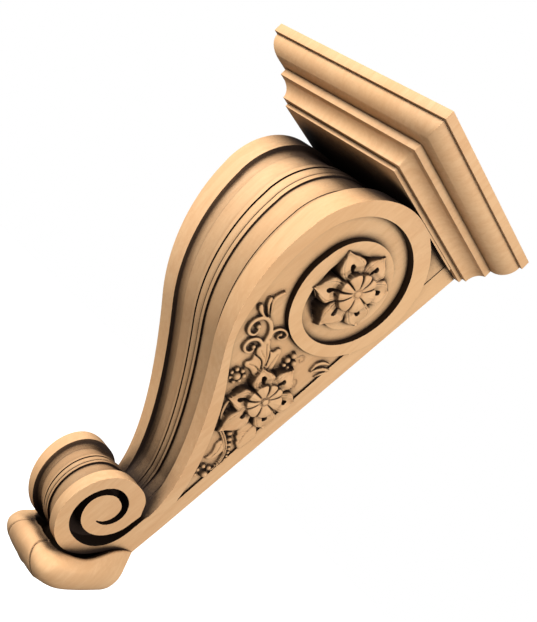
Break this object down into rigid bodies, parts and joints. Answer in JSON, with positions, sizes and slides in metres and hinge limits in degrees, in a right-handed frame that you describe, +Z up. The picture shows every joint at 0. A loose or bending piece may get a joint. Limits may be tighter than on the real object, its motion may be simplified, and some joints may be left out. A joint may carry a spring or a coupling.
{
  "type": "corbel",
  "caption": "Carved wooden scroll corbel with a moulded square cap, channelled S-shaped front, side volutes with rosettes and leafwork, and a leaf cup under the lower volute.",
  "frame": {"origin": "middle of the body's flat back, 200 mm below the cap's top, on the wall plane", "axes": "+Z up, +Y into the wall, the front toward -Y, X across the width"},
  "size_m": [0.2, 0.1667, 0.4231],
  "materials": {
    "wood": "matte"
  },
  "bodies": {
    "root": {"cap": "wood", "scroll_body": "wood"}
  },
  "joints": []
}
